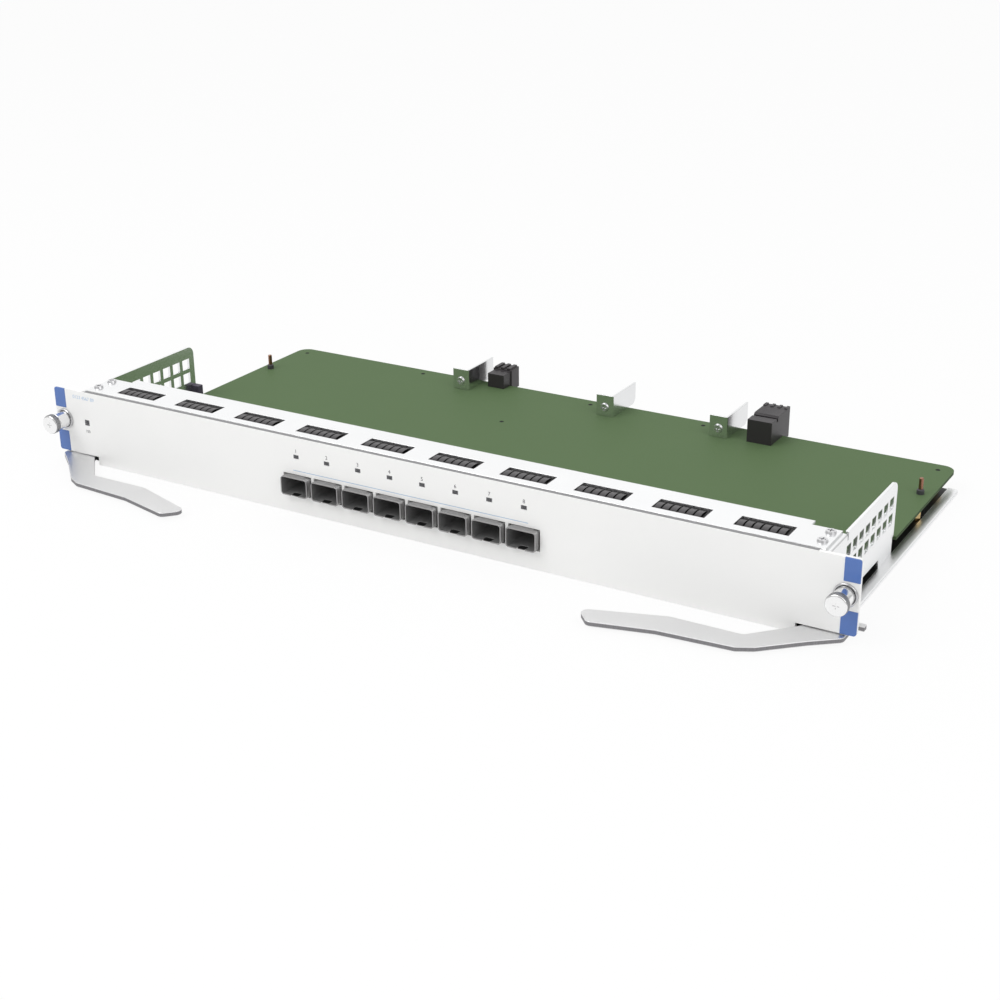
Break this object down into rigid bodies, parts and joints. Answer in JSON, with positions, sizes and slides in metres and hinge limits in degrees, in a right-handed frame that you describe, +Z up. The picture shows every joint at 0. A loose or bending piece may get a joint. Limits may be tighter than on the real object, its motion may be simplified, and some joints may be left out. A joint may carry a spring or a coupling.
{
  "type": "switch line card",
  "caption": "Slim line card for a network chassis: faceplate with caged ports, windowed top strip, board on a railed tray, ejector levers and sprung captive screws.",
  "frame": {"origin": "on the faceplate's rear seating plane, centred between the ears, level with the tray's underside", "axes": "+X along the faceplate to the right seen from the front, +Y from the faceplate back into the chassis, +Z up from the tray"},
  "size_m": [0.399, 0.2183, 0.0362],
  "materials": {
    "face_paint": "smooth light silver-white, low gloss",
    "bright_sheet": "bright plated sheet, softly mirrored",
    "strip_sheet": "bright plated sheet, satin",
    "blue_inlay": "smooth blue",
    "gasket": "dark grey conductive foam",
    "contact_sheet": "thin spring sheet, dull",
    "screw_steel": "bright screws and nuts",
    "board_green": "green board with a clear varnish",
    "brass": "plain turned brass",
    "cage_sheet": "thin pressed sheet",
    "black_plastic": "moulded, fine grain",
    "pipe_plastic": "clear moulded light guide",
    "light_chip": "small moulded chip",
    "sink_metal": "extruded, satin",
    "dark_block": "moulded dark block",
    "connector_black": "moulded dark connector housing",
    "copper": "copper coloured pin",
    "lever_sheet": "satin plated plate",
    "chrome": "polished",
    "spring_wire": "spring wire"
  },
  "bodies": {
    "card": {"faceplate": "face_paint", "ear_inlay_left_upper": "blue_inlay", "ear_inlay_left_lower": "blue_inlay", "ear_inlay_right_upper": "blue_inlay", "ear_inlay_right_lower": "blue_inlay", "seam_gasket": "gasket", "top_strip": "strip_sheet", "contact_strip": "contact_sheet", "pan_head_screws": "screw_steel", "side_bracket_left": "bright_sheet", "side_bracket_right": "bright_sheet", "stud_nuts": "screw_steel", "base_tray": "bright_sheet", "circuit_board": "board_green", "board_standoffs": "brass", "tray_screws": "screw_steel", "wall_blocks": "dark_block", "port_cage_1": "cage_sheet", "port_receptacle_1": "black_plastic", "port_cage_2": "cage_sheet", "port_receptacle_2": "black_plastic", "port_cage_3": "cage_sheet", "port_receptacle_3": "black_plastic", "port_cage_4": "cage_sheet", "port_receptacle_4": "black_plastic", "port_cage_5": "cage_sheet", "port_receptacle_5": "black_plastic", "port_cage_6": "cage_sheet", "port_receptacle_6": "black_plastic", "port_cage_7": "cage_sheet", "port_receptacle_7": "black_plastic", "port_cage_8": "cage_sheet", "port_receptacle_8": "black_plastic", "light_pipe_bar": "pipe_plastic", "status_light_pipe": "pipe_plastic", "light_chips": "light_chip", "switch_chip": "black_plastic", "chip_heat_sink": "sink_metal", "guide_bracket_left": "bright_sheet", "guide_bracket_centre": "bright_sheet", "guide_bracket_right": "bright_sheet", "guide_blocks": "dark_block", "signal_connector": "connector_black", "power_connector": "connector_black", "ground_posts": "copper", "post_collars": "dark_block", "lever_pivot_left": "screw_steel", "captive_ferrule_left": "chrome", "captive_spring_left": "spring_wire", "lever_pivot_right": "screw_steel", "captive_ferrule_right": "chrome", "captive_spring_right": "spring_wire"},
    "ejector_left": {"ejector_lever_left": "lever_sheet"},
    "screw_press_left": {"captive_clip_left": "spring_wire"},
    "screw_turn_left": {"captive_knob_left": "chrome"},
    "ejector_right": {"ejector_lever_right": "lever_sheet"},
    "screw_press_right": {"captive_clip_right": "spring_wire"},
    "screw_turn_right": {"captive_knob_right": "chrome"}
  },
  "joints": [
    {"name": "ejector_swing_left", "type": "hinge", "parent": "card", "child": "ejector_left", "pos_m": [-0.1875, 0.0075, 0.0026], "axis": [0, 0, -1], "range_deg": [0, 60]},
    {"name": "screw_push_left", "type": "slide", "parent": "card", "child": "screw_press_left", "axis": [0, 1, 0], "range_m": [0, 0.003], "stiffness_N_per_m": 300, "springref_m": -0.003, "deforming": ["captive_spring_left"]},
    {"name": "screw_spin_left", "type": "hinge", "parent": "screw_press_left", "child": "screw_turn_left", "pos_m": [-0.1943, 0, 0.0204], "axis": [0, 1, 0], "continuous": true},
    {"name": "ejector_swing_right", "type": "hinge", "parent": "card", "child": "ejector_right", "pos_m": [0.1875, 0.0075, 0.0026], "axis": [0, 0, 1], "range_deg": [0, 60]},
    {"name": "screw_push_right", "type": "slide", "parent": "card", "child": "screw_press_right", "axis": [0, 1, 0], "range_m": [0, 0.003], "stiffness_N_per_m": 300, "springref_m": -0.003, "deforming": ["captive_spring_right"]},
    {"name": "screw_spin_right", "type": "hinge", "parent": "screw_press_right", "child": "screw_turn_right", "pos_m": [0.1943, 0, 0.0204], "axis": [0, 1, 0], "continuous": true}
  ]
}
